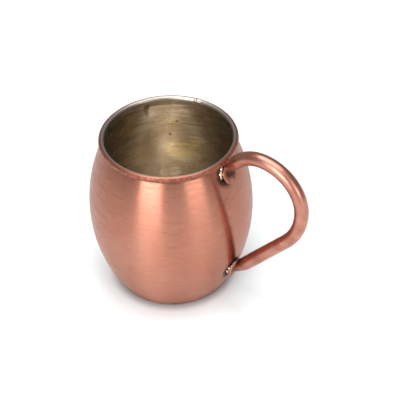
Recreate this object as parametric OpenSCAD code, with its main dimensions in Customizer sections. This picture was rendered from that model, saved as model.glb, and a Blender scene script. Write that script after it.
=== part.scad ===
// Barrel mug: a spun copper shell with a bright metal lining, a soldered
// ring round the mouth and one bent tube handle on two small pads.
// Millimetres. Z is up, the mug stands on z = 0 round its own axis, and the
// handle lies in the XZ plane on the +X side.

/* [Barrel] */
// Overall height to the top of the rim
mug_h = 98; // [80:1:115]
// Radius of the arc that the side of the barrel follows
side_arc_r = 96.5; // [90:0.5:110]
// Widest radius of the barrel
belly_r = 46.3; // [43:0.1:50]
// Height of the widest place
belly_z = 51.6; // [48:0.1:54]
// Thickness of the copper wall
wall_t = 1.0; // [0.8:0.1:1.4]
// Rounding of the outside corner at the foot
foot_corner_r = 2.5; // [1.5:0.1:3.5]
// How far the middle of the underside is dished in
dish_depth = 0.5; // [0.2:0.1:0.8]
// Radius of the dished middle of the underside
dish_r = 23; // [18:0.5:26]

/* [Mouth] */
// Inside radius of the mouth
mouth_r = 35.5; // [34:0.1:36]
// Width of the rim, measured outwards from the mouth
rim_w = 3.1; // [2.6:0.1:3.6]
// Height of the rim
rim_h = 3.9; // [3.4:0.1:4.6]
// Thickness of the lining metal
lining_t = 0.25; // [0.2:0.05:0.4]
// How far down the outside of the rim the lining's lip comes
lip_drop = 0.35; // [0.3:0.05:1.2]
// Direction of the butt joint in the rim ring, from the handle
joint_angle = 98; // [60:1:150]
// Angle that the butt joint's solder fills
joint_span = 2.4; // [1.5:0.1:4]

/* [Handle] */
// Radius of the handle tube
tube_r = 3.95; // [3.5:0.05:4.2]
// Wall of the handle tube
tube_wall = 1.0; // [0.8:0.1:1.4]
// Radius of the tube where it is swaged down at its ends
tube_end_r = 3.2; // [3:0.1:3.4]
// Length over which the tube is swaged down at each end
swage_len = 10; // [8:0.5:12]
// Height of the tube's centre line at the top of the loop
loop_top_z = 105.3; // [104:0.1:107]
// Reach of the tube's centre line from the mug's axis
loop_reach = 85.4; // [84:0.1:87]
// Bend radius where the tube rises over the rim
rise_bend_r = 20; // [19:0.5:21]
// Angle above level at which the tube leaves the barrel
rise_angle = 45; // [44:0.5:50]
// Bend radius over the top of the loop
grip_bend_r = 25; // [24:0.5:26]
// Bend radius at the outer side of the loop
return_bend_r = 35; // [34:0.5:36]
// How far past straight down the tube turns on its way back
return_angle = 42.5; // [42:0.5:43]
// Length of the straight run back towards the barrel
return_run = 39; // [37:0.5:39]
// Bend radius just before the lower pad
foot_bend_r = 16; // [14:0.5:17]
// How far the tube turns in towards the lower pad
foot_angle = 12; // [8:1:16]

/* [Pads] */
// Diameter of the disc pad under the upper end of the handle
upper_pad_d = 11.5; // [10:0.5:11.5]
// Diameter of the disc pad under the lower end
lower_pad_d = 13; // [12:0.5:14]
// Thickness of the pads
pad_t = 0.9; // [0.7:0.1:1.2]
// Gap between the barrel and a pad, which the solder fills
pad_gap = 0.8; // [0.6:0.1:1]
// Height of the middle of the upper pad
upper_pad_z = 87.9; // [86:0.1:88]
// Height of the middle of the lower pad
lower_pad_z = 21.5; // [20:0.1:24]

/* [Hidden] */
$fn = 120;

COPPER = [0.80, 0.50, 0.39];
COPPER_DARK = [0.72, 0.42, 0.32];
TIN = [0.62, 0.60, 0.55];
SOLDER = [0.86, 0.80, 0.68];

beyond = 300;                       // bigger than anything here
arc_centre_r = belly_r - side_arc_r; // centre of the side's arc, past the axis
neck_wall_t = wall_t - 0.2;         // the wall thins where it is spun in
neck_r = mouth_r + lining_t + neck_wall_t;
rim_out_r = mouth_r + rim_w;
roll_r = rim_w / 2;                 // the rim's section is round above and below
roll_mid_r = mouth_r + roll_r;
roll_top_z = mug_h - roll_r;
roll_low_z = mug_h - rim_h + roll_r;
floor_t = wall_t + 0.2;             // the base keeps the sheet's full thickness
inner_corner_r = 5;
rim_gap = 0.15;                     // how close the tube's upper end is cut to the ring
solder_margin = 1.2;                // how far the solder stops short of a pad's edge

pad_face = pad_gap + pad_t;         // how far a pad's outer face is from the barrel
tube_sides = 24;                    // facets round the tube
bend_step = 7;                      // degrees between rings in a bend

// The loop's bend centres in the XZ plane, as [distance from the axis, height]
grip_centre = [loop_reach - grip_bend_r, loop_top_z - grip_bend_r];
rise_centre = [grip_centre.x, loop_top_z - rise_bend_r];
return_centre = [loop_reach - return_bend_r, grip_centre.y];
rise_start = rise_centre + rise_bend_r * heading(90 + rise_angle);
return_way = -90 - return_angle;    // direction of travel on the way back
foot_way = return_way - foot_angle; // and where the tube meets the lower pad
return_end = return_centre + return_bend_r * heading(-return_angle);
foot_start = return_end + return_run * heading(return_way);
foot_centre = foot_start + foot_bend_r * heading(return_way - 90);
foot_end = foot_centre + foot_bend_r * heading(foot_way + 90);

// Radius of the side's arc, set in by a distance, at a height
function side_r(inset, z) =
    arc_centre_r + sqrt(pow(side_arc_r - inset, 2) - pow(z - belly_z, 2));

// Height above the belly where the side's arc has come in to a radius
function arc_meets_z(inset, r) =
    belly_z + sqrt(pow(side_arc_r - inset, 2) - pow(r - arc_centre_r, 2));

// Unit vector at an angle above level
function heading(angle) = [cos(angle), sin(angle)];

// How far a point is outside the barrel's side
function outside(p) = norm([norm([p.x, p.y]) - arc_centre_r, p.z - belly_z]) - side_arc_r;

// How far a point is outside the ring round the mouth
function off_ring(p) =
    let (z = max(roll_low_z, min(roll_top_z, p.z)))
    norm([norm([p.x, p.y]) - roll_mid_r, p.z - z]) - roll_r;

// Slides a point back along a direction until it meets a pad's face or the ring
function onto_seat(p, way, steps = 40) =
    let (gap = min(outside(p) - pad_face, off_ring(p) - rim_gap))
    steps == 0 ? p : onto_seat(p - way * gap, way, steps - 1);

// The same in the XZ plane, for a point of the tube's centre line
function seat_point(point, way) =
    let (p = onto_seat([point.x, 0, point.y], [way.x, 0, way.y]))
    [p.x, p.z];

upper_seat = seat_point(rise_start, heading(rise_angle));
lower_seat = seat_point(foot_end, -heading(foot_way));

// Stations round a clockwise bend: [point, direction of travel]
function bend_stations(centre, bend_r, from, to) =
    let (count = ceil((from - to) / bend_step))
    [for (i = [0:count - 1])
        let (angle = from + (to - from) * i / count)
        [centre + bend_r * heading(angle), angle - 90]];

// Stations of the tube's centre line, from the upper pad to the lower one
stations = concat(
    [[(upper_seat + rise_start) / 2, rise_angle]],
    bend_stations(rise_centre, rise_bend_r, 90 + rise_angle, 90),
    bend_stations(grip_centre, grip_bend_r, 90, 0),
    bend_stations(return_centre, return_bend_r, 0, -return_angle),
    [for (part = [0, 0.4, 0.8, 0.9]) [return_end + part * return_run * heading(return_way),
                                      return_way]],
    bend_stations(foot_centre, foot_bend_r, return_way + 90, foot_way + 90),
    [[foot_end, foot_way]]);

// Straight-line distance from a station to the nearer end of the tube
function from_end(point) = min(norm(point - upper_seat), norm(point - lower_seat));

// Radius of the tube at a station, less an inset: it eases down at the ends
function tube_radius(point, inset) =
    let (part = min(1, from_end(point) / swage_len))
    tube_end_r + (tube_r - tube_end_r) * part * part * (3 - 2 * part) - inset;

// Ring of points round a station
function ring(station, r) =
    let (point = station[0], across = heading(station[1] + 90))
    [for (j = [0:tube_sides - 1])
        let (turn = 360 * j / tube_sides, up = r * cos(turn))
        [point.x + up * across.x, r * sin(turn), point.y + up * across.y]];

// Ring at an end of the tube, cut to fit what it stands on
function end_ring(station, r, outward) =
    let (way = heading(station[1]) * outward)
    [for (p = ring(station, r)) onto_seat(p, [way.x, 0, way.y])];

// All the rings of one surface of the tube, set in from its outside
function tube_rings(inset) =
    let (last = len(stations) - 1)
    concat([end_ring(stations[0], tube_end_r - inset, 1)],
           [for (s = stations) ring(s, tube_radius(s[0], inset))],
           [end_ring(stations[last], tube_end_r - inset, -1)]);

function reversed(list) = [for (i = [len(list) - 1:-1:0]) list[i]];

// Half section of the barrel, set in from the outside by a distance and
// running from a floor with a round corner up into a straight neck
module barrel_section(inset, floor_z, corner_r, straight_r, top_z) {
    arc_r = side_arc_r - inset;
    shoulder_z = arc_meets_z(inset, straight_r);
    corner_z = floor_z + corner_r;
    corner_at = arc_centre_r + sqrt(pow(arc_r - corner_r, 2) - pow(belly_z - corner_z, 2));
    lean = atan2(corner_z - belly_z, corner_at - arc_centre_r);
    difference() {
        intersection() {
            translate([arc_centre_r, belly_z]) circle(arc_r);
            translate([0, floor_z]) square([beyond, shoulder_z - floor_z]);
        }
        polygon([[corner_at, corner_z],
                 [corner_at, floor_z - beyond],
                 [arc_centre_r + beyond * cos(lean), floor_z - beyond],
                 [arc_centre_r + beyond * cos(lean), belly_z + beyond * sin(lean)]]);
    }
    translate([corner_at, corner_z]) circle(corner_r);
    translate([0, shoulder_z - 0.01]) square([straight_r, top_z - shoulder_z + 0.01]);
}

// Solid of revolution that follows the side, set in (or out, when negative)
module side_solid(inset) {
    rotate_extrude() intersection() {
        translate([arc_centre_r, belly_z]) circle(side_arc_r - inset);
        square([beyond, mug_h]);
    }
}

// Half section of the rim, drawn in by a distance all round
module rim_section(inset) {
    for (z = [roll_low_z, roll_top_z])
        translate([roll_mid_r, z]) circle(roll_r - inset);
    translate([roll_mid_r - roll_r + inset, roll_low_z])
        square([2 * (roll_r - inset), roll_top_z - roll_low_z]);
}

// Half section of the lip: the lining's metal folded over the rim
module lip_section() {
    difference() {
        rim_section(0);
        rim_section(lining_t);
        translate([0, roll_top_z - beyond]) square([beyond, beyond]);
        translate([roll_mid_r, mug_h - lip_drop - beyond]) square([beyond, beyond]);
    }
}

// Half section of everything between the lining and the outside at the mouth
module mouth_metal_section() {
    difference() {
        union() {
            rim_section(0);
            translate([mouth_r, roll_low_z - roll_r]) square([roll_r, rim_h - roll_r]);
        }
        lip_section();
        translate([0, roll_low_z - roll_r - 1]) square([mouth_r + lining_t, rim_h + 1]);
    }
}

module body_shell() {
    color(COPPER) rotate_extrude() {
        difference() {
            barrel_section(0, 0, foot_corner_r, neck_r, roll_low_z);
            barrel_section(wall_t, floor_t, inner_corner_r, mouth_r + lining_t, mug_h);
            polygon([[0, -1], [dish_r + 1, -1], [dish_r - 1, dish_depth], [0, dish_depth]]);
        }
        intersection() {
            mouth_metal_section();
            translate([0, roll_low_z - 1]) square([neck_r, rim_h + 1]);
        }
    }
}

module lining() {
    lining_floor = floor_t + lining_t;
    color(TIN) rotate_extrude() {
        difference() {
            barrel_section(wall_t, floor_t, inner_corner_r, mouth_r + lining_t, roll_top_z);
            barrel_section(wall_t + lining_t, lining_floor, inner_corner_r - lining_t,
                           mouth_r, mug_h);
        }
        lip_section();
    }
}

// Half section of the ring soldered round the neck
module ring_section() {
    difference() {
        mouth_metal_section();
        square([neck_r, beyond]);
    }
}

module rim_ring() {
    color(COPPER_DARK) rotate([0, 0, joint_angle + joint_span / 2])
        rotate_extrude(angle = 360 - joint_span) ring_section();
}

module rim_joint_solder() {
    color(SOLDER) rotate([0, 0, joint_angle - joint_span / 2])
        rotate_extrude(angle = joint_span) ring_section();
}

// Two triangles between points a, b and the next two round, c, d
function strip(a, b, c, d) = [[a, b, d], [a, d, c]];

module handle_tube() {
    rings = concat(tube_rings(0), reversed(tube_rings(tube_wall)));
    count = len(rings);
    faces = [for (i = [0:count - 1], j = [0:tube_sides - 1])
        let (i2 = (i + 1) % count, j2 = (j + 1) % tube_sides)
        each strip(i * tube_sides + j, i * tube_sides + j2,
                   i2 * tube_sides + j, i2 * tube_sides + j2)];
    color(COPPER) polyhedron([for (r = rings) each r], faces);
}

// Places children on the barrel at a height, their Z pointing straight out
// of the side and their X pointing down it
module on_side(z) {
    lean = asin((z - belly_z) / side_arc_r);
    translate([arc_centre_r, 0, belly_z]) rotate([0, -lean, 0])
        translate([side_arc_r, 0, 0]) rotate([0, 90, 0]) children();
}

// Round patch of the layer between two distances outside the barrel
module side_patch(z, d, from, to) {
    intersection() {
        difference() {
            side_solid(-to);
            side_solid(-from);
        }
        on_side(z) cylinder(h = 12, d = d, center = true);
    }
}

module upper_pad() {
    color(COPPER) side_patch(upper_pad_z, upper_pad_d, pad_gap, pad_face);
}

module lower_pad() {
    color(COPPER) side_patch(lower_pad_z, lower_pad_d, pad_gap, pad_face);
}

module upper_solder() {
    color(SOLDER) side_patch(upper_pad_z, upper_pad_d - 2 * solder_margin, 0, pad_gap);
}

module lower_solder() {
    color(SOLDER) side_patch(lower_pad_z, lower_pad_d - 2 * solder_margin, 0, pad_gap);
}

body_shell();
lining();
rim_ring();
rim_joint_solder();
handle_tube();
upper_pad();
lower_pad();
upper_solder();
lower_solder();
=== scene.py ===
"""Copper barrel mug: the looks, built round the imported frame.

Every length is in metres and every place is in the frame's own axes: +Z up, the
mug stands on z = 0 round the Z axis, and the handle lies in the XZ plane on +X.
"""

import math

import bmesh
import bpy
from mathutils import Matrix, Vector, noise


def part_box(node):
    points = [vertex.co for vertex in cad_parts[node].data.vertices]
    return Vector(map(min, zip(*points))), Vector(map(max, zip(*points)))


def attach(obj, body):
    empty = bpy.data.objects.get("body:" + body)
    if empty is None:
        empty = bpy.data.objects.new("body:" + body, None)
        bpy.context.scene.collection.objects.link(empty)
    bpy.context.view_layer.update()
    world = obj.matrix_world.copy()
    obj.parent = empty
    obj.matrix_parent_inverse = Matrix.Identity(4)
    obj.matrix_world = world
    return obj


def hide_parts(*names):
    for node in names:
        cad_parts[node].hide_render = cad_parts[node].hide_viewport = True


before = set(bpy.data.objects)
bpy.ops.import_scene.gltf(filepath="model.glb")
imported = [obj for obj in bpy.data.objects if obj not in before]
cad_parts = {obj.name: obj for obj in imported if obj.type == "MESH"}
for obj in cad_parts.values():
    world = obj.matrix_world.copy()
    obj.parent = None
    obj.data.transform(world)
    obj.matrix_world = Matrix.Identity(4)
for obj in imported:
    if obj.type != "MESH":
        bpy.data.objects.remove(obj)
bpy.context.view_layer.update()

MM = 0.001
TAU = 2 * math.pi

# ---- Sizes, taken from the frame or repeated from the design ----

_, SHELL_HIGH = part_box("body_shell")
RIM_LOW, RIM_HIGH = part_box("rim_ring")
_, LINING_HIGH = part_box("lining")
HANDLE_LOW, HANDLE_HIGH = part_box("handle_tube")

MUG_H = LINING_HIGH.z
BELLY_R = SHELL_HIGH.y
BELLY_Z = 51.6 * MM
SIDE_ARC_R = 96.5 * MM
WALL_T = 1.0 * MM
LINING_T = 0.25 * MM
FLOOR_T = WALL_T + 0.2 * MM
FOOT_CORNER_R = 2.5 * MM
INNER_CORNER_R = 5 * MM
DISH_R = 23 * MM
DISH_DEPTH = 0.5 * MM
RIM_OUT_R = RIM_HIGH.y
RIM_W = 3.1 * MM
MOUTH_R = RIM_OUT_R - RIM_W
RIM_H = MUG_H - RIM_LOW.z
ROLL_R = RIM_W / 2
NECK_R = MOUTH_R + LINING_T + 0.8 * MM
ARC_R0 = BELLY_R - SIDE_ARC_R          # the side's arc is centred past the axis
LIP_DROP = 0.33 * MM                   # how far the lining comes down outside the rim
JOINT_ANGLE = math.radians(98)         # the ring's butt joint, from the handle
JOINT_GAP = math.radians(2.4)          # left open between the ring's ends
JOINT_SPAN = math.radians(7.5)         # covered by the solder wiped over them
POLE_R = 0.02 * MM                     # smallest radius, so that no ring is a point
AROUND = 384                           # steps round the barrel and the lining

TUBE_R = (HANDLE_HIGH.y - HANDLE_LOW.y) / 2
TUBE_END_R = 3.2 * MM
TUBE_WALL = 1.0 * MM
SWAGE_LEN = 10 * MM
LOOP_REACH = HANDLE_HIGH.x - TUBE_R
LOOP_TOP_Z = HANDLE_HIGH.z - TUBE_R
RISE_BEND_R, RISE_ANGLE = 20 * MM, math.radians(45)
RIM_GAP = 0.15 * MM
GRIP_BEND_R = 25 * MM
RETURN_BEND_R, RETURN_ANGLE = 35 * MM, math.radians(42.5)
RETURN_RUN = 39 * MM
FOOT_BEND_R, FOOT_ANGLE = 16 * MM, math.radians(12)

PAD_GAP, PAD_T = 0.8 * MM, 0.9 * MM
PAD_FACE = PAD_GAP + PAD_T
UPPER_PAD_R, UPPER_PAD_Z = 5.75 * MM, 87.9 * MM
LOWER_PAD_R, LOWER_PAD_Z = 6.5 * MM, 21.5 * MM


# ---- Camera: the photograph's viewing angle ----

VIEW_TURN = math.radians(35)           # round Z from looking square at the handle's plane
VIEW_PITCH = math.radians(39.43)       # looking down
VIEW_ROLL = math.radians(1.59)
VIEW_DISTANCE = 852.5 * MM             # from the lens to the mug's middle, along the view
VIEW_OFFSET = (-16.3 * MM, 2.3 * MM)   # the mug's middle is left of and below the centre
LENS_MM, SENSOR_MM = 135, 36


def add_camera():
    """Sets the camera from the pitch, roll and turn, looking past the mug's middle."""
    pitch, roll = VIEW_PITCH, VIEW_ROLL
    ahead = Vector((0, math.cos(pitch), -math.sin(pitch)))
    level = Vector((1, 0, 0))
    below = Vector((0, -math.sin(pitch), -math.cos(pitch)))
    right = math.cos(roll) * level + math.sin(roll) * below
    down = -math.sin(roll) * level + math.cos(roll) * below
    middle = Vector((0, 0, MUG_H / 2))
    place = middle - right * VIEW_OFFSET[0] - down * VIEW_OFFSET[1]
    place -= ahead * VIEW_DISTANCE
    spin = Matrix.Rotation(VIEW_TURN, 4, "Z")
    pose = Matrix((right, -down, -ahead)).transposed().to_4x4()
    pose.translation = place - middle
    camera = bpy.data.objects.new("camera", bpy.data.cameras.new("camera"))
    camera.data.lens, camera.data.sensor_width = LENS_MM, SENSOR_MM
    camera.matrix_world = Matrix.Translation(middle) @ spin @ pose
    bpy.context.scene.collection.objects.link(camera)
    bpy.context.scene.camera = camera


# ---- Geometry helpers ----

def soft_noise(x, y, z, seed=0.0):
    """Smooth noise between about -1 and 1, the same every run."""
    return noise.noise(Vector((x + seed, y - 2 * seed, z + 3 * seed)))


def arc(centre, radius, start, end, count):
    """Points on an arc in a plane, both ends included, angles in radians."""
    angles = [start + (end - start) * i / (count - 1) for i in range(count)]
    return [(centre[0] + radius * math.cos(a), centre[1] + radius * math.sin(a))
            for a in angles]


def side_r(inset, z):
    """Radius of the barrel's side, set in by a distance, at a height."""
    return ARC_R0 + math.sqrt((SIDE_ARC_R - inset) ** 2 - (z - BELLY_Z) ** 2)


def make_object(name, verts, faces, material, node):
    """Links a mesh object that stands for a CAD node, rides it on the one body,
    gives it its material and hides the CAD node's own part."""
    mesh = bpy.data.meshes.new(name)
    mesh.from_pydata([tuple(v) for v in verts], [], faces)
    mesh.validate()
    bm = bmesh.new()
    bm.from_mesh(mesh)
    bmesh.ops.remove_doubles(bm, verts=bm.verts, dist=1e-7)
    bmesh.ops.recalc_face_normals(bm, faces=bm.faces)
    bm.to_mesh(mesh)
    bm.free()
    for poly in mesh.polygons:
        poly.use_smooth = True
    obj = bpy.data.objects.new(name, mesh)
    obj.data.materials.append(material)
    bpy.context.scene.collection.objects.link(obj)
    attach(obj, "root")
    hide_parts(node)


def lathe(section, count, start=0.0, span=TAU):
    """Verts and faces of a section turned round Z. section(angle) gives a closed
    loop of (radius, height) points, the same number at every angle."""
    full = abs(span - TAU) < 1e-9
    rings = count if full else count + 1
    verts, faces = [], []
    for i in range(rings):
        angle = start + span * i / count
        loop = section(angle)
        verts += [(r * math.cos(angle), r * math.sin(angle), z) for r, z in loop]
    size = len(loop)
    for i in range(count):
        a, b = i * size, ((i + 1) % rings) * size
        for j in range(size):
            k = (j + 1) % size
            faces.append((a + j, b + j, b + k, a + k))
    if not full:
        faces.append(tuple(range(size)))
        faces.append(tuple(range(count * size + size - 1, count * size - 1, -1)))
    return verts, faces


def sweep(rings):
    """Verts and faces of a tube through rings of points; the ring list closes on
    itself, so it runs along the outside and back along the inside."""
    size = len(rings[0])
    verts = [p for ring in rings for p in ring]
    faces = []
    for i in range(len(rings)):
        a, b = i * size, ((i + 1) % len(rings)) * size
        for j in range(size):
            k = (j + 1) % size
            faces.append((a + j, a + k, b + k, b + j))
    return verts, faces


# ---- Barrel, lining and rim ----

def corner(inset, floor_z, corner_r):
    """Centre and end angle of the round corner between a floor and the side."""
    z = floor_z + corner_r
    r = ARC_R0 + math.sqrt((SIDE_ARC_R - inset - corner_r) ** 2 - (BELLY_Z - z) ** 2)
    return (r, z), math.atan2(z - BELLY_Z, r - ARC_R0)


def side_points(inset, floor_z, corner_r, neck_r, count):
    """The corner and side from the floor up to a neck radius."""
    centre, lean = corner(inset, floor_z, corner_r)
    shoulder = math.acos((neck_r - ARC_R0) / (SIDE_ARC_R - inset))
    return (arc(centre, corner_r, -math.pi / 2, lean, 9)
            + arc((ARC_R0, BELLY_Z), SIDE_ARC_R - inset, lean, shoulder, count)[1:])


def handmade_dent(angle, z):
    """How far the side is pressed in by hand work: a few hundredths of a
    millimetre, always inwards, none at the foot or the neck."""
    fade = math.sin(math.pi * min(max(z / MUG_H, 0), 1)) ** 0.5
    swell = soft_noise(1.6 * math.cos(angle), 1.6 * math.sin(angle), z / (38 * MM), 7.1)
    ripple = soft_noise(0, 0, z / (2.6 * MM), 3.3)
    return fade * MM * (0.05 * (1 + swell) + 0.006 * (1 + ripple))


NICK_ANGLE, NICK_Z = math.radians(-55.5), 1.6 * MM


def nick_depth(angle, z):
    """A small knock in the corner of the foot."""
    across = BELLY_R * math.sin(angle - NICK_ANGLE) / (0.55 * MM)
    up = (z - NICK_Z) / (0.75 * MM)
    facing = math.cos(angle - NICK_ANGLE) > 0
    return 0.35 * MM * math.exp(-across * across - up * up) if facing else 0.0


def add_barrel(material):
    """The spun copper shell: dished underside, side, drawn-in neck, and inside."""
    outer = side_points(0, 0, FOOT_CORNER_R, NECK_R + 0.25 * MM, 120)
    inner = side_points(WALL_T, FLOOR_T, INNER_CORNER_R, MOUTH_R + LINING_T, 40)
    top = MUG_H - LINING_T - 0.4 * MM
    throat = outer[-1][1]
    base = [(POLE_R, DISH_DEPTH)]
    base += [(DISH_R * t, DISH_DEPTH) for t in (0.1, 0.3, 0.5, 0.7, 0.9)]
    base += [(DISH_R + s * MM, DISH_DEPTH * (1 - (s + 1.5) / 3)) for s in (-1.5, -0.5, 0.5, 1.5)]
    base += [(outer[0][0] - 3 * MM, 0)]
    neck = [(NECK_R + 0.07 * MM, throat + 0.25 * MM), (NECK_R, throat + 0.6 * MM), (NECK_R, top)]
    inside = [(MOUTH_R + LINING_T, top)] + inner[::-1] + [(POLE_R, FLOOR_T)]

    def section(angle):
        side = [(r - handmade_dent(angle, z) - nick_depth(angle, z), z) for r, z in outer]
        rings = [(r, z + 0.03 * MM * (1 + math.sin(r / (0.45 * MM))) * (0.3 < r / DISH_R < 0.92))
                 for r, z in base]
        return rings + side + neck + inside

    verts, faces = lathe(section, AROUND)
    make_object("barrel", verts, faces, material, "body_shell")


def lip_points(drop, count=22):
    """Outer line of the rim from inside the mouth over the top and down the outside."""
    centre = (MOUTH_R + ROLL_R, MUG_H - ROLL_R)
    end = math.asin((ROLL_R - drop) / ROLL_R)
    return arc(centre, ROLL_R, math.pi, end, count)


def add_lining(material):
    """The white-metal skin inside, folded over the rim with an uneven wiped edge."""
    floor = FLOOR_T + LINING_T
    inner = side_points(WALL_T + LINING_T, floor, INNER_CORNER_R - LINING_T, MOUTH_R, 110)
    outer = side_points(WALL_T, FLOOR_T, INNER_CORNER_R, MOUTH_R + LINING_T, 30)
    shoulder_z = inner[-1][1]
    centre = (MOUTH_R + ROLL_R, MUG_H - ROLL_R)

    def section(angle):
        wander = soft_noise(5 * math.cos(angle), 5 * math.sin(angle), 0, 1.7)
        fine = soft_noise(23 * math.cos(angle), 23 * math.sin(angle), 0, 4.2)
        drop = LIP_DROP + MM * (0.14 * wander + 0.06 * fine)
        face = [(r - 0.35 * handmade_dent(angle, z), z) for r, z in inner]
        groove = [(MOUTH_R + 0.10 * MM, shoulder_z + 0.30 * MM),
                  (MOUTH_R + 0.02 * MM, shoulder_z + 0.75 * MM),
                  (MOUTH_R, shoulder_z + 1.2 * MM)]
        over = lip_points(drop)
        end = math.asin((ROLL_R - drop) / ROLL_R)
        under = arc(centre, ROLL_R - LINING_T, end, math.pi, 14)
        back = [(MOUTH_R + LINING_T, MUG_H - 3 * MM)] + outer[::-1]
        return ([(POLE_R, floor)] + face + groove + over + under + back
                + [(POLE_R, FLOOR_T)])

    verts, faces = lathe(section, AROUND)
    make_object("tinned_lining", verts, faces, material, "lining")


def ring_loop(angle):
    """Section of the rim ring at an angle: round outside and below, flat on the
    neck, and tucked under the lip on top."""
    wave = soft_noise(9 * math.cos(angle), 9 * math.sin(angle), 0, 8.8)
    low = RIM_LOW.z + 0.10 * MM * (1 + wave)
    under_lip = ROLL_R - 0.04 * MM
    centre_r = MOUTH_R + ROLL_R
    top = arc((centre_r, MUG_H - ROLL_R), under_lip, math.radians(80), 0, 14)
    bottom = arc((centre_r, low + ROLL_R), ROLL_R, 0, -math.radians(100), 16)
    neck = [(NECK_R - 0.05 * MM, low + 0.12 * MM), (NECK_R - 0.05 * MM, MUG_H - 0.9 * MM)]
    return top + bottom + neck


def add_rim_ring(material):
    """The copper ring round the mouth, open where its ends meet at the back."""
    verts, faces = lathe(ring_loop, 360, JOINT_ANGLE + JOINT_GAP / 2, TAU - JOINT_GAP)
    make_object("rim_bead", verts, faces, material, "rim_ring")


def add_rim_joint(material):
    """The butt joint's solder: a low lumpy saddle wiped over the rim."""
    start = JOINT_ANGLE - JOINT_SPAN / 2
    below = 2 * ROLL_R - RIM_H         # from the ring's upper roll down to its lower one
    centre = (MOUTH_R + ROLL_R, MUG_H - ROLL_R)

    def section(angle):
        part = (angle - start) / JOINT_SPAN
        crown = math.sin(math.pi * min(max(part, 0), 1)) ** 0.6
        loop = []
        for a in range(-70, 191, 13):
            lump = soft_noise(part * 5, a / 40, 0, 5.5)
            reach = ROLL_R + MM * (-0.08 + crown * (0.20 + 0.11 * lump))
            drop = below if a < 0 else 0
            turn = math.radians(a)
            loop.append((centre[0] + reach * math.cos(turn),
                         centre[1] + drop + reach * math.sin(turn)))
        core = ROLL_R - 0.35 * MM
        back = [(centre[0] + core * math.cos(math.radians(a)),
                 centre[1] + core * math.sin(math.radians(a))) for a in (180, 120, 60, 0, -60)]
        return loop + back

    verts, faces = lathe(section, 28, start, JOINT_SPAN)
    make_object("rim_butt_solder", verts, faces, material, "rim_joint_solder")


# ---- Handle ----

def heading(angle):
    """Unit vector in the handle's plane, at an angle above +X."""
    return Vector((math.cos(angle), 0, math.sin(angle)))


def bend(centre, radius, start, end, count):
    """Stations of a clockwise bend: point and direction of travel."""
    return [(centre + radius * heading(start + (end - start) * i / count),
             start + (end - start) * i / count - math.pi / 2) for i in range(count)]


def handle_stations():
    """The handle's centre line from the upper pad to the lower one."""
    grip = Vector((LOOP_REACH - GRIP_BEND_R, 0, LOOP_TOP_Z - GRIP_BEND_R))
    rise = Vector((grip.x, 0, LOOP_TOP_Z - RISE_BEND_R))
    back = Vector((LOOP_REACH - RETURN_BEND_R, 0, grip.z))
    way = -math.pi / 2 - RETURN_ANGLE
    run_start = back + RETURN_BEND_R * heading(-RETURN_ANGLE)
    foot_start = run_start + RETURN_RUN * heading(way)
    foot = foot_start + FOOT_BEND_R * heading(way - math.pi / 2)
    foot_way = way - FOOT_ANGLE
    rise_start = rise + RISE_BEND_R * heading(math.pi / 2 + RISE_ANGLE)
    seat = onto_seat(rise_start, heading(RISE_ANGLE))
    # the straight part between the rings cut to the pad and the first bend
    straight = [(seat.lerp(rise_start, t), RISE_ANGLE) for t in (0.45, 0.55, 0.65, 0.75, 0.87)]
    stations = straight + bend(rise, RISE_BEND_R, math.pi / 2 + RISE_ANGLE, math.pi / 2, 30)
    stations += bend(grip, GRIP_BEND_R, math.pi / 2, 0, 44)
    stations += bend(back, RETURN_BEND_R, 0, -RETURN_ANGLE, 26)
    stations += [(run_start + RETURN_RUN * i / 26 * heading(way), way) for i in range(26)]
    stations += bend(foot, FOOT_BEND_R, way + math.pi / 2, foot_way + math.pi / 2, 6)
    stations.append((foot + FOOT_BEND_R * heading(foot_way + math.pi / 2), foot_way))
    return stations


def outside(p):
    """How far a point is outside the barrel's side."""
    out = math.hypot(p.x, p.y) - ARC_R0
    return math.hypot(out, p.z - BELLY_Z) - SIDE_ARC_R


def onto(p, way, distance):
    """Slides a point along a direction until it is that far outside the side."""
    for _ in range(40):
        p = p - way * (outside(p) - distance)
    return p


def off_ring(p):
    """How far a point is outside the ring round the mouth."""
    z = max(RIM_LOW.z + ROLL_R, min(MUG_H - ROLL_R, p.z))
    return math.hypot(math.hypot(p.x, p.y) - MOUTH_R - ROLL_R, p.z - z) - ROLL_R


def onto_seat(p, way, lift=0.0):
    """Slides a point back along a direction until it meets a pad's face, or a height
    above it, or the ring."""
    for _ in range(60):
        p = p - way * min(outside(p) - PAD_FACE - lift, off_ring(p) - RIM_GAP)
    return p


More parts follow.
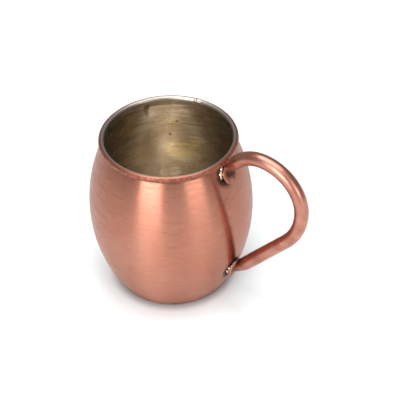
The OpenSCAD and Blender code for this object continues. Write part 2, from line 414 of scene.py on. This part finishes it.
def add_handle(material):
    """The bent tube: swaged ends with a thin flare of braze on the pads."""
    sides = 56
    stations = handle_stations()
    first = onto_seat(stations[0][0], heading(stations[0][1]))
    last = onto_seat(stations[-1][0], -heading(stations[-1][1]))

    def ring(station, radius):
        point, way = station
        across = heading(way + math.pi / 2)
        points = []
        for j in range(sides):
            turn = TAU * j / sides
            bump = soft_noise(point.x * 60, point.z * 60, turn, 2.2)
            r = radius * (1 - 0.006 * (1 + bump))
            points.append(point + across * r * math.cos(turn) + Vector((0, r * math.sin(turn), 0)))
        return points

    def end_rings(station, sign, radii):
        """Rings cut to the pad, from just above it down onto its face."""
        way = heading(station[1]) * sign
        return [[onto_seat(p, way, lift) for p in ring(station, r)] for r, lift in radii]

    def surface(inset):
        rings = []
        for point, way in stations:
            near = min((point - first).length, (point - last).length) / SWAGE_LEN
            part = min(near, 1)
            ease = part * part * (3 - 2 * part)
            rings.append(ring((point, way), TUBE_END_R + (TUBE_R - TUBE_END_R) * ease - inset))
        flare = [(TUBE_END_R - inset, 0.9 * MM), (TUBE_END_R - inset + 0.05 * MM, 0.45 * MM),
                 (TUBE_END_R - inset + 0.1 * MM, 0.1 * MM), (TUBE_END_R - inset + 0.16 * MM, 0)]
        head = end_rings(stations[0], 1, flare)[::-1]
        tail = end_rings(stations[-1], -1, flare)
        return head + rings + tail

    rings = surface(0) + surface(TUBE_WALL)[::-1]
    verts, faces = sweep(rings)
    make_object("handle", verts, faces, material, "handle_tube")


# ---- Pads and their solder ----

class Seat:
    """A place on the barrel's side, with directions out of it, down it and across."""

    def __init__(self, z):
        lean = math.asin((z - BELLY_Z) / SIDE_ARC_R)
        self.out = heading(lean)
        self.down = heading(lean - math.pi / 2)
        self.across = Vector((0, 1, 0))
        self.point = Vector((ARC_R0, 0, BELLY_Z)) + SIDE_ARC_R * self.out

    def at(self, rho, phi, lift):
        """Point at polar (rho, phi) on the side, phi from straight down, lifted off it."""
        flat = self.down * rho * math.cos(phi) + self.across * rho * math.sin(phi)
        return onto(self.point + flat + self.out * lift, self.out, lift)


def add_pad(name, node, seat, radius, material):
    """A disc pad bowed to the barrel, with rounded edges."""
    edge = 0.3 * MM
    across = 72
    inner_lift, outer_lift = PAD_GAP, PAD_FACE
    loop = [(POLE_R, outer_lift)]
    loop += [(radius * t, outer_lift) for t in (0.2, 0.4, 0.6, 0.8)]
    loop += arc((radius - edge, outer_lift - edge), edge, math.pi / 2, 0, 6)
    loop += arc((radius - edge, inner_lift + edge), edge, 0, -math.pi / 2, 6)
    loop += [(radius * t, inner_lift) for t in (0.8, 0.5, 0.2)] + [(POLE_R, inner_lift)]
    rings = []
    for i in range(across):
        phi = TAU * i / across
        worn = 1 - 0.012 * (1 + soft_noise(3 * math.cos(phi), 3 * math.sin(phi), 0, radius * 900))
        rings.append([seat.at(rho * worn, phi, lift) for rho, lift in loop])
    verts, faces = sweep(rings)
    make_object(name, verts, faces, material, node)


def add_solder(name, node, seat, radius, drops, material):
    """A bed of solder between barrel and pad, squeezed out in drops at its edge.
    Each drop is (phi in degrees, distance past the pad's edge, size), in mm."""
    across, steps = 120, 9
    rings = []
    for i in range(across):
        phi = TAU * i / across
        uneven = soft_noise(2.5 * math.cos(phi), 2.5 * math.sin(phi), 0, radius * 500)
        reach = radius - MM * (1.5 - 0.4 * uneven)
        loop = [(POLE_R, PAD_GAP - 0.01 * MM)]
        for s in range(steps):
            turn = math.pi / 2 - math.pi * s / (steps - 1)
            loop.append((reach + 0.3 * MM * math.cos(turn),
                         PAD_GAP / 2 * (1 + 0.98 * math.sin(turn))))
        loop.append((POLE_R, 0.01 * MM))
        rings.append([seat.at(rho, phi, lift) for rho, lift in loop])
    verts, faces = sweep(rings)
    for count, (phi_deg, past, size) in enumerate(drops):
        bm = bmesh.new()
        bmesh.ops.create_icosphere(bm, subdivisions=4, radius=1)
        bm.verts.ensure_lookup_table()
        start = len(verts)
        phi = math.radians(phi_deg)
        for v in bm.verts:
            lump = 1 + 0.22 * soft_noise(v.co.x * 1.4, v.co.y * 1.4, v.co.z * 1.4, 3 + count)
            rho = radius + past * MM + v.co.x * size * 0.75 * MM * lump
            turn = phi + v.co.y * size * MM * lump / radius
            lift = max((0.45 + v.co.z * 0.75 * lump) * size * MM, 0.0)
            verts.append(seat.at(rho, turn, lift))
        faces += [tuple(start + v.index for v in f.verts) for f in bm.faces]
        bm.free()
    make_object(name, verts, faces, material, node)


# ---- Materials ----

COLOR_A, COLOR_B, COLOR_OUT = 6, 7, 2   # a Mix node's colour sockets share their names


class Shader:
    """A small builder for one material's nodes."""

    def __init__(self, name):
        self.material = bpy.data.materials.new(name)
        self.material.use_nodes = True
        self.tree = self.material.node_tree
        self.tree.nodes.clear()
        self.bsdf = self.tree.nodes.new("ShaderNodeBsdfPrincipled")
        output = self.tree.nodes.new("ShaderNodeOutputMaterial")
        self.link(self.bsdf.outputs[0], output.inputs["Surface"])
        self.coords = self.tree.nodes.new("ShaderNodeTexCoord").outputs["Object"]
        self.axes = self.tree.nodes.new("ShaderNodeSeparateXYZ")
        self.link(self.coords, self.axes.inputs[0])

    def link(self, out, socket):
        """Feeds a socket from another one, or sets it to a number or a colour."""
        if isinstance(out, (int, float)):
            socket.default_value = out
        elif isinstance(out, tuple):
            socket.default_value = (*out, 1) if len(socket.default_value) == 4 else out
        else:
            self.tree.links.new(out, socket)

    def math(self, operation, a, b=0.0):
        node = self.tree.nodes.new("ShaderNodeMath")
        node.operation = operation
        self.link(a, node.inputs[0])
        self.link(b, node.inputs[1])
        return node.outputs[0]

    def polar(self, around, up):
        """Coordinates wrapped round Z: x and y on a circle of radius `around`, and a
        third along the profile, `up` to the metre. The profile mixes height and radius,
        so that flat bottoms are ringed too."""
        angle = self.math("ARCTAN2", self.axes.outputs["Y"], self.axes.outputs["X"])
        node = self.tree.nodes.new("ShaderNodeCombineXYZ")
        self.link(self.math("MULTIPLY", self.math("COSINE", angle), around), node.inputs[0])
        self.link(self.math("MULTIPLY", self.math("SINE", angle), around), node.inputs[1])
        profile = self.math("ADD", self.axes.outputs["Z"],
                            self.math("MULTIPLY", self.radius(), 0.5))
        self.link(self.math("MULTIPLY", profile, up), node.inputs[2])
        return node.outputs[0]

    def radius(self):
        """Distance of the surface from the Z axis, in metres."""
        squares = [self.math("MULTIPLY", self.axes.outputs[a], self.axes.outputs[a]) for a in "XY"]
        return self.math("SQRT", self.math("ADD", *squares))

    def noise(self, vector, scale=1.0, detail=3.0, rough=0.5, distort=0.0):
        node = self.tree.nodes.new("ShaderNodeTexNoise")
        self.link(vector, node.inputs["Vector"])
        node.inputs["Scale"].default_value = scale
        node.inputs["Detail"].default_value = detail
        node.inputs["Roughness"].default_value = rough
        node.inputs["Distortion"].default_value = distort
        return node.outputs["Fac"]

    def ramp(self, value, low, high, out_low=0.0, out_high=1.0):
        """Eases from out_low to out_high as a value goes from low to high."""
        node = self.tree.nodes.new("ShaderNodeMapRange")
        node.interpolation_type = "SMOOTHSTEP"
        self.link(value, node.inputs["Value"])
        for socket, number in zip(("From Min", "From Max", "To Min", "To Max"),
                                  (low, high, out_low, out_high)):
            node.inputs[socket].default_value = number
        return node.outputs[0]

    def mix(self, factor, a, b):
        """Colour a, going over to colour b as the factor goes to 1."""
        node = self.tree.nodes.new("ShaderNodeMix")
        node.data_type = "RGBA"
        self.link(factor, node.inputs["Factor"])
        self.link(a, node.inputs[COLOR_A])
        self.link(b, node.inputs[COLOR_B])
        return node.outputs[COLOR_OUT]

    def distance(self, point):
        """Distance of the surface from a fixed point, in metres."""
        node = self.tree.nodes.new("ShaderNodeVectorMath")
        node.operation = "DISTANCE"
        self.link(self.coords, node.inputs[0])
        node.inputs[1].default_value = tuple(point)
        return node.outputs["Value"]

    def spot(self, point, radius, soft=0.5):
        """1 at a fixed point, falling smoothly to 0 at a radius."""
        return self.ramp(self.distance(point), radius * (1 - soft), radius, 1.0, 0.0)

    def bump(self, height, distance, strength=1.0):
        node = self.tree.nodes.new("ShaderNodeBump")
        node.inputs["Strength"].default_value = strength
        node.inputs["Distance"].default_value = distance
        self.link(height, node.inputs["Height"])
        self.link(node.outputs[0], self.bsdf.inputs["Normal"])

    def brushed_round(self, anisotropy):
        """Brush marks that run round Z, so highlights stretch up and down."""
        node = self.tree.nodes.new("ShaderNodeTangent")
        node.direction_type, node.axis = "RADIAL", "Z"
        self.link(node.outputs[0], self.bsdf.inputs["Tangent"])
        self.bsdf.inputs["Anisotropic"].default_value = anisotropy
        self.bsdf.inputs["Anisotropic Rotation"].default_value = 0.25

    def finish(self, color, roughness, metallic=1.0):
        """Gives the shader its colour and roughness, and returns the material."""
        self.link(color, self.bsdf.inputs["Base Color"])
        self.link(roughness, self.bsdf.inputs["Roughness"])
        self.bsdf.inputs["Metallic"].default_value = metallic
        return self.material


COPPER = (0.44, 0.176, 0.119)
COPPER_PALE = (0.475, 0.207, 0.145)
COPPER_DEEP = (0.34, 0.119, 0.075)
TUBE_COPPER = (0.48, 0.218, 0.163)
TUBE_DEEP = (0.38, 0.150, 0.105)
# dark flux and heat colour, also used for painted shade and painted dark reflection
FLUX_AND_SHADE = (0.060, 0.022, 0.012)
SOLDER_DULL = (0.32, 0.25, 0.17)
SOLDER_BRIGHT = (0.82, 0.76, 0.64)
UPPER_SEAT, LOWER_SEAT = Seat(UPPER_PAD_Z), Seat(LOWER_PAD_Z)


def brushed_copper():
    """Barrel copper: fine brush lines round the barrel, faint tarnish, and dark
    flux round the two pads, set off to one side where it is also painted shade and a
    painted dark reflection; painted shade in the crease under the rim and in the knock
    at the foot."""
    s = Shader("brushed_copper")
    fine = s.noise(s.polar(9.0, 5200.0), 1.0, 2.0, 0.6)
    broad = s.noise(s.polar(3.0, 900.0), 1.0, 2.0, 0.5)
    cloud = s.noise(s.polar(1.6, 22.0), 1.0, 3.0, 0.55, 0.4)
    lines = s.math("ADD", s.math("MULTIPLY", fine, 0.65), s.math("MULTIPLY", broad, 0.35))
    color = s.mix(s.ramp(cloud, 0.35, 0.7), COPPER, COPPER_PALE)
    color = s.mix(s.ramp(lines, 0.50, 0.68, 0.0, 0.6), color, COPPER_DEEP)
    flux_and_shade_wobble = s.noise(s.coords, 420.0, 3.0, 0.6)
    # dark flux round each pad, set off to one side, where it also paints the pad's shadow and a
    # dark reflection of the handle on the barrel
    for seat, radius, side, rise in ((UPPER_SEAT, UPPER_PAD_R - 1.0 * MM, -2.6, 0.4),
                                     (LOWER_SEAT, LOWER_PAD_R - 0.6 * MM, -1.3, 1.0)):
        middle = seat.point + seat.across * side * MM - seat.down * rise * MM
        reach = s.math("ADD", s.distance(middle), s.math("MULTIPLY", flux_and_shade_wobble, -3.0 * MM))
        color = s.mix(s.ramp(reach, radius - 1.5 * MM, radius + 2.2 * MM, 0.92, 0.0), color, FLUX_AND_SHADE)
    # painted shade: the barrel darkened to flux colour in the crease under the rim
    height = s.axes.outputs["Z"]
    wander = s.noise(s.polar(6.0, 0.0), 1.0, 2.0)
    crease = s.math("ADD", height, s.math("MULTIPLY", wander, -0.5 * MM))
    color = s.mix(s.ramp(crease, RIM_LOW.z - 0.9 * MM, RIM_LOW.z - 0.1 * MM, 0.0, 0.8),
                  color, FLUX_AND_SHADE)
    # painted shade: a dark spot in the hollow of the knock at the foot
    centre = corner(0, 0, FOOT_CORNER_R)[0]
    nick = Vector((math.cos(NICK_ANGLE), math.sin(NICK_ANGLE), 0)) * (centre[0] + 2.2 * MM)
    nick.z = NICK_Z
    color = s.mix(s.math("MULTIPLY", s.spot(nick, 1.3 * MM, 0.7), 0.85), color, FLUX_AND_SHADE)
    s.brushed_round(0.9)
    s.bump(lines, 0.04 * MM, 0.5)
    return s.finish(color, s.ramp(lines, 0.35, 0.65, 0.27, 0.40))


def rim_copper():
    """The ring's copper: darker and worn, with painted shade along its underside."""
    s = Shader("rim_copper")
    worn = s.noise(s.polar(26.0, 900.0), 1.0, 3.0, 0.6)
    color = s.mix(s.ramp(worn, 0.36, 0.6), COPPER, COPPER_DEEP)
    color = s.mix(s.ramp(worn, 0.40, 0.62, 0.24, 0.46), color, FLUX_AND_SHADE)
    # painted shade: the ring's underside darkened to flux colour
    low = s.math("ADD", s.axes.outputs["Z"], s.math("MULTIPLY", worn, -0.9 * MM))
    color = s.mix(s.ramp(low, RIM_LOW.z - 0.3 * MM, RIM_LOW.z + 0.7 * MM, 0.8, 0.0), color, FLUX_AND_SHADE)
    s.bump(worn, 0.08 * MM, 0.4)
    return s.finish(color, s.ramp(worn, 0.3, 0.7, 0.42, 0.56))


def tube_copper():
    """The handle's copper: smoother, with soft mottling and dark heat at its ends."""
    s = Shader("tube_copper")
    mottle = s.noise(s.coords, 95.0, 4.0, 0.55, 0.3)
    grain = s.noise(s.coords, 1500.0, 2.0, 0.5)
    color = s.mix(s.ramp(mottle, 0.38, 0.68), TUBE_COPPER, TUBE_DEEP)
    for seat, reach in ((UPPER_SEAT, 7.5 * MM), (LOWER_SEAT, 7.0 * MM)):
        heat = s.math("ADD", s.distance(seat.point), s.math("MULTIPLY", mottle, -3 * MM))
        color = s.mix(s.ramp(heat, 0.25 * reach, reach, 0.55, 0.0), color, FLUX_AND_SHADE)
    s.bump(s.math("ADD", s.math("MULTIPLY", mottle, 0.8), s.math("MULTIPLY", grain, 0.2)),
           0.06 * MM, 0.3)
    return s.finish(color, s.ramp(mottle, 0.3, 0.7, 0.26, 0.36))


def pad_copper():
    """The pads: dark with flux and heat where the tube is brazed on, the same dark also painted
    shadow of the tube and a painted dark reflection; paler lower down.
    """
    s = Shader("pad_copper")
    patch = s.noise(s.coords, 330.0, 3.0, 0.6)
    color = s.mix(s.ramp(patch, 0.35, 0.7), COPPER, COPPER_DEEP)
    # dark flux and heat on each pad's face, which also paints the tube's shadow and a dark
    # reflection
    for seat, rise in ((UPPER_SEAT, 1.6 * MM), (LOWER_SEAT, -0.5 * MM)):
        face = seat.point + seat.out * PAD_FACE - seat.down * rise + seat.across * 0.6 * MM
        reach = s.math("ADD", s.distance(face), s.math("MULTIPLY", patch, -2.4 * MM))
        color = s.mix(s.ramp(reach, 1.6 * MM, 4.6 * MM, 0.93, 0.0), color, FLUX_AND_SHADE)
    s.bump(patch, 0.1 * MM, 0.4)
    return s.finish(color, s.ramp(patch, 0.3, 0.7, 0.32, 0.48))


LINING_LIGHT = (0.75, 0.69, 0.60)
LINING_DARK = (0.58, 0.49, 0.38)
LINING_DEEP_AND_SHADE = (0.44, 0.35, 0.25)
RUN_BROWN = (0.14, 0.062, 0.036)
LIP_METAL = (0.36, 0.32, 0.29)
LINING_GOLD_AND_GLINT = (0.84, 0.72, 0.42)
PAINTED_HIGHLIGHT_WHITE = (0.90, 0.86, 0.78)

# Marks in the lining, each at an angle in degrees from the handle and a height in mm:
# patches of painted shade and painted highlights as (angle, height, radius, strength, colour),
# pits as (angle, height, radius) and runs as (angle, top, bottom, width)
PAINTED_LIGHT_PATCHES = [(134, 58, 18, 0.8, LINING_DEEP_AND_SHADE), (120, 66, 11, 0.6, LINING_DEEP_AND_SHADE),
           (121, 53.5, 8, 0.85, LINING_GOLD_AND_GLINT), (114, 54, 7, 0.8, LINING_GOLD_AND_GLINT),
           (131, 38, 4, 0.8, PAINTED_HIGHLIGHT_WHITE), (122.5, 38, 5, 0.9, PAINTED_HIGHLIGHT_WHITE)]
PITS = [(119, 76.8, 1.0), (125, 65.6, 1.1), (126.5, 67.2, 0.6)]
RUNS = [(144.0, 95.0, 84.0, 0.8), (146.4, 94.5, 87.0, 0.6)]
RUN_SPOTS = 14                         # overlapping spots that make up a run


def inside_point(angle_deg, z_mm):
    """Point on the lining at an angle from the handle and a height."""
    angle, z = math.radians(angle_deg), z_mm * MM
    r = side_r(WALL_T + LINING_T, z)
    return Vector((r * math.cos(angle), r * math.sin(angle), z))


def lining_metal():
    """Wiped white metal: brushed round, clouded and yellowed, with pits and runs, and
    patches of painted shade and painted highlights on the inside wall.
    """
    s = Shader("lining_metal")
    fine = s.noise(s.polar(7.0, 3600.0), 1.0, 2.0, 0.6)
    broad = s.noise(s.polar(3.0, 640.0), 1.0, 2.0, 0.5)
    cloud = s.noise(s.polar(2.4, 60.0), 1.0, 2.0, 0.5)
    tint = s.noise(s.polar(1.5, 50.0), 1.7, 2.0, 0.5)
    lines = s.math("ADD", s.math("MULTIPLY", fine, 0.4), s.math("MULTIPLY", broad, 0.6))
    color = s.mix(s.ramp(cloud, 0.36, 0.64), LINING_DARK, LINING_LIGHT)
    color = s.mix(s.ramp(tint, 0.5, 0.72, 0.0, 0.55), color, LINING_GOLD_AND_GLINT)
    color = s.mix(s.ramp(lines, 0.45, 0.60, 0.0, 0.75), color, LINING_DEEP_AND_SHADE)
    # painted shade and painted highlights: patches of dark, gold and white colour on the inside
    # wall
    for angle, z, size, amount, patch in PAINTED_LIGHT_PATCHES:
        spot = s.spot(inside_point(angle, z), size * MM, 0.55)
        painted_light_mask = s.math("MULTIPLY", spot, s.ramp(lines, 0.42, 0.58, amount, 0.35 * amount))
        color = s.mix(painted_light_mask, color, patch)
    for angle, z, size in PITS:
        spot = s.spot(inside_point(angle, z), size * MM, 0.6)
        color = s.mix(s.math("MULTIPLY", spot, 0.85), color, FLUX_AND_SHADE)
    for angle, top, bottom, width in RUNS:
        for i in range(RUN_SPOTS):
            part = i / (RUN_SPOTS - 1)
            at = inside_point(angle + 0.5 * math.sin(4 * part), top + (bottom - top) * part)
            fade = s.math("MULTIPLY", s.spot(at, 1.5 * width * MM, 0.7), 0.8 * (1 - 0.5 * part))
            color = s.mix(fade, color, RUN_BROWN)
    chips = s.noise(s.polar(40.0, 300.0), 1.0, 3.0, 0.6)
    worn = s.math("ADD", s.radius(), s.math("MULTIPLY", chips, 0.8 * MM))
    crown = MOUTH_R + ROLL_R
    high = s.ramp(s.axes.outputs["Z"], MUG_H - 3.2 * MM, MUG_H - 1.2 * MM)
    bare = s.math("MULTIPLY", s.ramp(worn, crown + 0.15 * MM, crown + 0.55 * MM), high)
    color = s.mix(s.math("MULTIPLY", high, 0.85), color, LIP_METAL)
    color = s.mix(s.math("MULTIPLY", bare, 0.9), color, COPPER_DEEP)
    s.brushed_round(0.6)
    s.bump(lines, 0.05 * MM, 0.5)
    rough = s.math("ADD", s.ramp(cloud, 0.3, 0.7, 0.30, 0.22), s.math("MULTIPLY", high, 0.14))
    return s.finish(color, rough)


def solder_metal():
    """Bright soft solder, dimpled, with dark flux left in its hollows."""
    s = Shader("solder_metal")
    lumps = s.noise(s.coords, 900.0, 3.0, 0.6)
    color = s.mix(s.ramp(lumps, 0.42, 0.6), SOLDER_DULL, SOLDER_BRIGHT)
    s.bump(lumps, 0.2 * MM, 0.4)
    return s.finish(color, s.ramp(lumps, 0.3, 0.7, 0.36, 0.22))


# ---- Studio ----

FLOOR_HALF_WIDTH = 6.0
FLOOR_PALE = (0.81, 0.87, 0.885)
FLOOR_PALEST = (0.83, 0.89, 0.905)
FLOOR_SHADE = (0.16, 0.18, 0.18)
WORLD_COLOR, WORLD_STRENGTH = (1.0, 0.985, 0.97, 1), 0.40
LIGHT_DISTANCE = 1.3


def add_floor():
    """A wide, flat, pale floor, darker close round the foot to deepen the contact shadow."""
    size = FLOOR_HALF_WIDTH
    mesh = bpy.data.meshes.new("floor")
    mesh.from_pydata([(-size, -size, 0), (size, -size, 0), (size, size, 0), (-size, size, 0)],
                     [], [(0, 1, 2, 3)])
    floor = bpy.data.objects.new("floor", mesh)
    s = Shader("pale_floor")
    grain = s.noise(s.coords, 40.0, 2.0)
    color = s.mix(s.ramp(grain, 0.3, 0.7), FLOOR_PALE, FLOOR_PALEST)
    (foot_r, _), _ = corner(0, 0, FOOT_CORNER_R)
    shade = s.ramp(s.radius(), foot_r + 1 * MM, foot_r + 8 * MM, 0.6, 0.0)
    color = s.mix(shade, color, FLOOR_SHADE)
    mesh.materials.append(s.finish(color, 0.6, 0.0))
    bpy.context.scene.collection.objects.link(floor)


def add_softbox(name, turn_deg, low_deg, high_deg, wide_deg, brightness):
    """A rectangular light facing the mug, turned from the camera's direction
    (positive to its right) and reaching from one angle above level to another."""
    turn = VIEW_TURN + math.radians(turn_deg)
    rise = math.radians((low_deg + high_deg) / 2)
    way = Vector((math.sin(turn) * math.cos(rise), -math.cos(turn) * math.cos(rise),
                  math.sin(rise)))
    light = bpy.data.lights.new(name, "AREA")
    light.shape = "RECTANGLE"
    light.size = 2 * LIGHT_DISTANCE * math.tan(math.radians(wide_deg / 2))
    light.size_y = 2 * LIGHT_DISTANCE * math.tan(math.radians((high_deg - low_deg) / 2))
    light.energy = brightness * math.pi * light.size * light.size_y
    obj = bpy.data.objects.new(name, light)
    obj.location = Vector((0, 0, MUG_H / 2)) + way * LIGHT_DISTANCE
    obj.rotation_euler = way.to_track_quat("Z", "Y").to_euler()
    bpy.context.scene.collection.objects.link(obj)


def add_world():
    """Even, pale, slightly warm surroundings."""
    world = bpy.data.worlds.new("studio")
    world.use_nodes = True
    background = world.node_tree.nodes["Background"]
    background.inputs["Color"].default_value = WORLD_COLOR
    background.inputs["Strength"].default_value = WORLD_STRENGTH
    bpy.context.scene.world = world


add_camera()
add_barrel(brushed_copper())
add_rim_ring(rim_copper())
add_handle(tube_copper())
add_lining(lining_metal())
solder = solder_metal()
add_rim_joint(solder)
pad = pad_copper()
add_pad("upper_disc", "upper_pad", UPPER_SEAT, UPPER_PAD_R, pad)
add_pad("lower_disc", "lower_pad", LOWER_SEAT, LOWER_PAD_R, pad)
add_solder("upper_drops", "upper_solder", UPPER_SEAT, UPPER_PAD_R,
           [(-146, 0.9, 1.0), (-137, 0.6, 0.75), (-121, 1.0, 1.15), (-115, 0.2, 0.8),
            (-101, 0.8, 0.95), (75, 0.4, 0.8), (120, 0.5, 0.9)], solder)
add_solder("lower_drops", "lower_solder", LOWER_SEAT, LOWER_PAD_R,
           [(-104, 0.4, 0.95), (-96, 0.1, 0.7), (-122, 0.1, 0.85), (60, 0.3, 0.8),
            (30, 0.4, 0.6)], solder)

add_floor()
add_world()
# Each softbox: turn, lowest and highest angle, width (degrees), then brightness
add_softbox("key_low", -28, 4, 28, 29, 7.2)
add_softbox("key_high", -28, 28, 54, 32, 2.7)
add_softbox("right_low", 37, 4, 26, 26, 3.9)
add_softbox("right_high", 37, 26, 54, 28, 1.1)
add_softbox("overhead", -10, 66, 114, 50, 4.4)
bpy.context.scene.view_settings.view_transform = "Standard"
